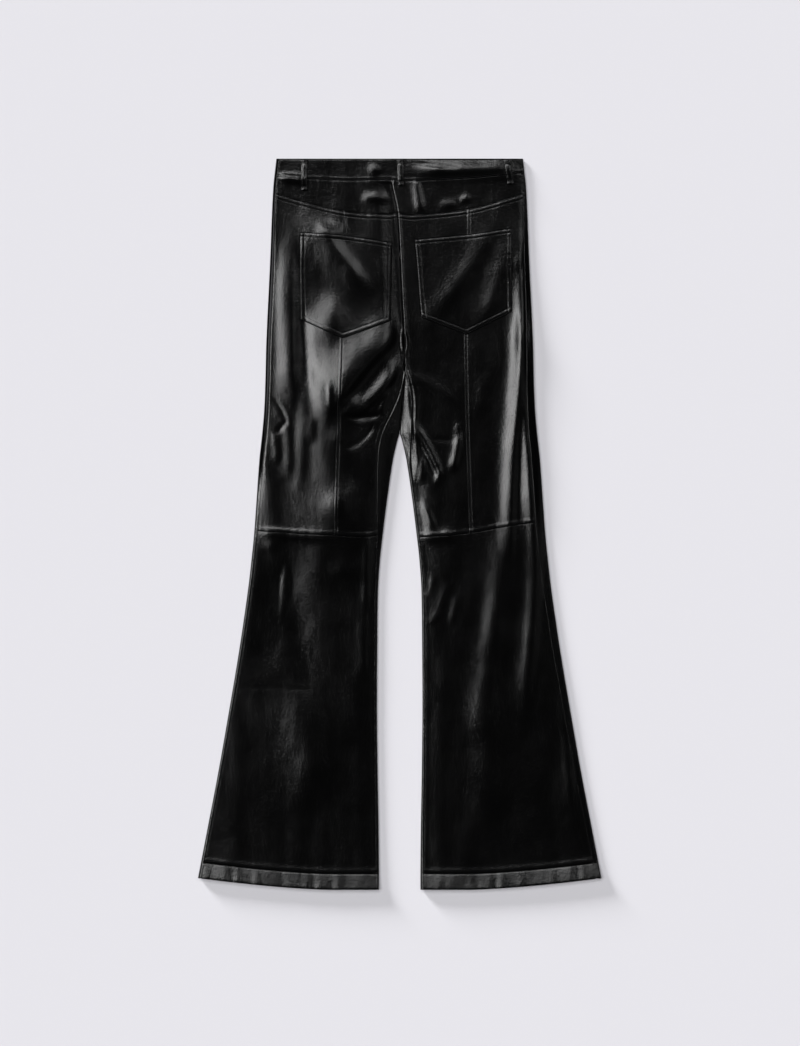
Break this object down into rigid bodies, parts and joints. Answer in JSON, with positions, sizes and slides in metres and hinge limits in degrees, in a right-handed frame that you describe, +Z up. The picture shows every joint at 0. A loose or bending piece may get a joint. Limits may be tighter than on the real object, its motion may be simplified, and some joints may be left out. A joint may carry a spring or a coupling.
{
  "type": "faux leather flared trousers",
  "caption": "Flared trousers in smooth faux leather, laid flat with the back up: yoke, pointed patch pockets, lengthwise back seams, knee seams and turned hems.",
  "frame": {"origin": "on the floor under the middle of the laid out garment", "axes": "+Y towards the waist, +X to the right as seen from above with the waist away from the viewer, +Z up out of the back of the trousers"},
  "size_m": [0.5889, 1.066, 0.0147],
  "materials": {
    "faux_leather": "smooth black coated cloth with a soft gloss and a fine grain",
    "button_metal": "dark satin metal"
  },
  "bodies": {
    "root": {"waistband_back": "faux_leather", "waistband_front_left": "faux_leather", "waistband_front_right": "faux_leather", "yoke_left": "faux_leather", "yoke_right": "faux_leather", "back_side_left": "faux_leather", "back_side_right": "faux_leather", "back_centre_left": "faux_leather", "back_centre_right": "faux_leather", "lower_back_left": "faux_leather", "lower_back_right": "faux_leather", "front_left": "faux_leather", "front_right": "faux_leather", "pocket_left": "faux_leather", "pocket_right": "faux_leather", "fly_flap": "faux_leather", "belt_loop_left": "faux_leather", "belt_loop_centre": "faux_leather", "belt_loop_right": "faux_leather", "waist_button": "button_metal"}
  },
  "joints": []
}
